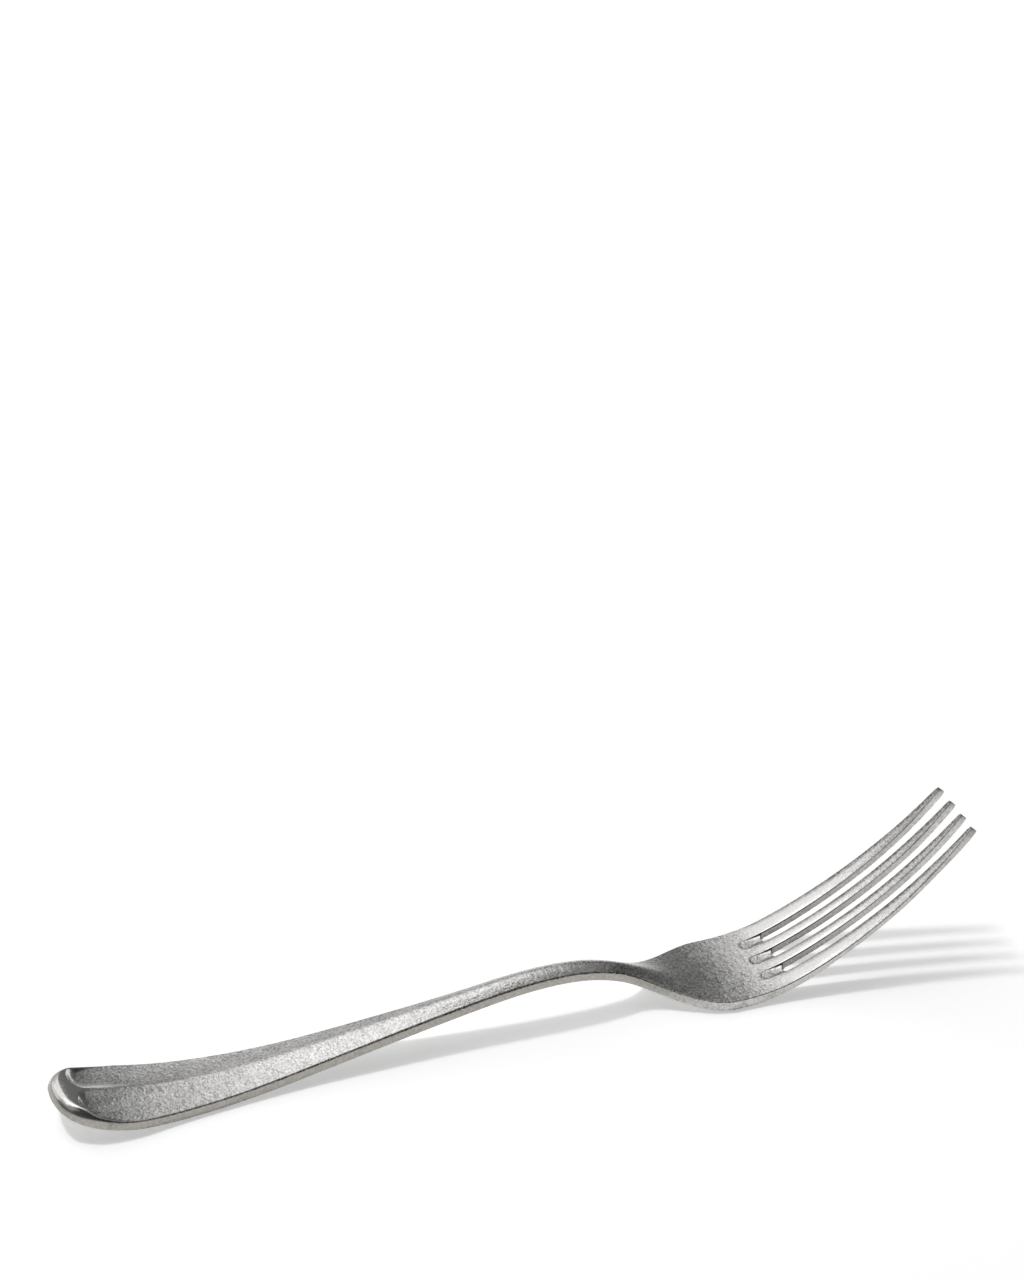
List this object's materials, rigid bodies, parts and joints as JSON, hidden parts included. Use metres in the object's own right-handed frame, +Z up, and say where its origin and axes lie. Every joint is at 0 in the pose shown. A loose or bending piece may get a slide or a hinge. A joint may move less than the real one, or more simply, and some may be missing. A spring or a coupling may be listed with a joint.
{
  "type": "dessert fork",
  "caption": "One-piece stainless steel dessert fork with slotted upswept tines, a slim arched neck and a ridged, scooped handle that ends in a raised rounded pad.",
  "frame": {"origin": "on the table, below the middle of the fork's box, as the fork lies on its handle and its palm", "axes": "+X from the handle to the tine tips, +Y across the fork, +Z up"},
  "size_m": [0.1838, 0.0216, 0.0288],
  "materials": {
    "stonewashed_steel": "stonewashed stainless steel: fine tumbled mottle, satin, brighter where it is rubbed smooth"
  },
  "bodies": {
    "root": {"dessert_fork": "stonewashed_steel"}
  },
  "joints": []
}
